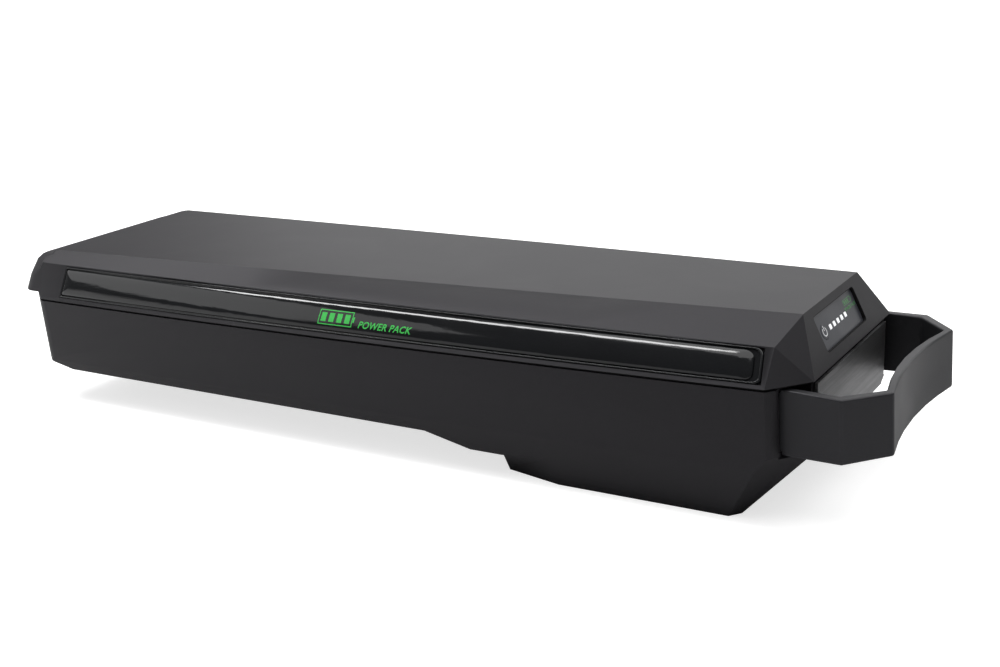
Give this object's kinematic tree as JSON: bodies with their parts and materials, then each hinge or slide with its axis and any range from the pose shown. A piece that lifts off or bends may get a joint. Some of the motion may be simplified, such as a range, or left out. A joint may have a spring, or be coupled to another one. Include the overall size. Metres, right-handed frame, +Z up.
{
  "type": "bicycle rack battery pack",
  "caption": "Long faceted battery pack for a bicycle's rear rack, with a fixed carry loop, a sloped charge display with a power button, and a plug-in socket.",
  "frame": {"origin": "on the floor under the middle of the pack's bounding box, with the belly's flat face resting on it", "axes": "+X along the pack's length towards the carry loop, +Y across the pack, +Z up through the top cover"},
  "size_m": [0.4646, 0.1236, 0.0808],
  "materials": {
    "case_plastic": "fine moulded texture",
    "cover_plastic": "fine moulded texture",
    "trim_frame": "satin",
    "trim_gloss": "polished",
    "gasket_rubber": "matte",
    "end_plate_metal": "fine brushed",
    "handle_plastic": "fine moulded texture",
    "screw_steel": "zinc plated",
    "label_film": "printed film",
    "window_white": "translucent white",
    "button_film": "printed film",
    "circuit_board": "solder mask",
    "switch_body": "moulded",
    "socket_plastic": "moulded",
    "contact_brass": "plated",
    "cell_wrap": "shrink wrap over a steel can",
    "tray_plastic": "moulded",
    "foam": "closed cell foam",
    "heat_sink_metal": "extruded",
    "chip_epoxy": "moulded epoxy",
    "header_nylon": "natural nylon",
    "fuse_ceramic": "glazed"
  },
  "bodies": {
    "pack": {"lower_case": "case_plastic", "top_cover": "cover_plastic", "seam_gasket": "gasket_rubber", "end_plate": "end_plate_metal", "carry_handle": "handle_plastic", "handle_screw_1": "screw_steel", "handle_screw_2": "screw_steel", "handle_screw_3": "screw_steel", "handle_screw_4": "screw_steel", "case_screw_1": "screw_steel", "case_screw_2": "screw_steel", "case_screw_3": "screw_steel", "case_screw_4": "screw_steel", "case_screw_5": "screw_steel", "case_screw_6": "screw_steel", "case_screw_7": "screw_steel", "case_screw_8": "screw_steel", "strip_frame_near": "trim_frame", "strip_frame_far": "trim_frame", "strip_lens_near": "trim_gloss", "strip_lens_far": "trim_gloss", "display_label": "label_film", "charge_window_1": "window_white", "charge_window_2": "window_white", "charge_window_3": "window_white", "charge_window_4": "window_white", "charge_window_5": "window_white", "display_board": "circuit_board", "button_switch": "switch_body", "discharge_socket": "socket_plastic", "discharge_blade_1": "contact_brass", "discharge_blade_2": "contact_brass", "discharge_blade_3": "contact_brass", "discharge_blade_4": "contact_brass", "cell_bank_01": "cell_wrap", "cell_bank_02": "cell_wrap", "cell_bank_03": "cell_wrap", "cell_bank_04": "cell_wrap", "cell_bank_05": "cell_wrap", "cell_bank_06": "cell_wrap", "cell_bank_07": "cell_wrap", "cell_bank_08": "cell_wrap", "cell_bank_09": "cell_wrap", "cell_bank_10": "cell_wrap", "cell_tray_lower": "tray_plastic", "cell_tray_upper": "tray_plastic", "foam_pad_front": "foam", "foam_pad_rear": "foam", "bms_board": "circuit_board", "bms_heat_sink": "heat_sink_metal", "power_transistor_1": "chip_epoxy", "power_transistor_2": "chip_epoxy", "power_transistor_3": "chip_epoxy", "power_transistor_4": "chip_epoxy", "sense_header": "header_nylon", "main_fuse": "fuse_ceramic"},
    "button": {"power_button": "button_film"}
  },
  "joints": [
    {"name": "button_press", "type": "slide", "parent": "pack", "child": "button", "axis": [-0.9138, 0, -0.4062], "range_m": [0, 0.0005], "stiffness_N_per_m": 400, "springref_m": -0.0005}
  ]
}
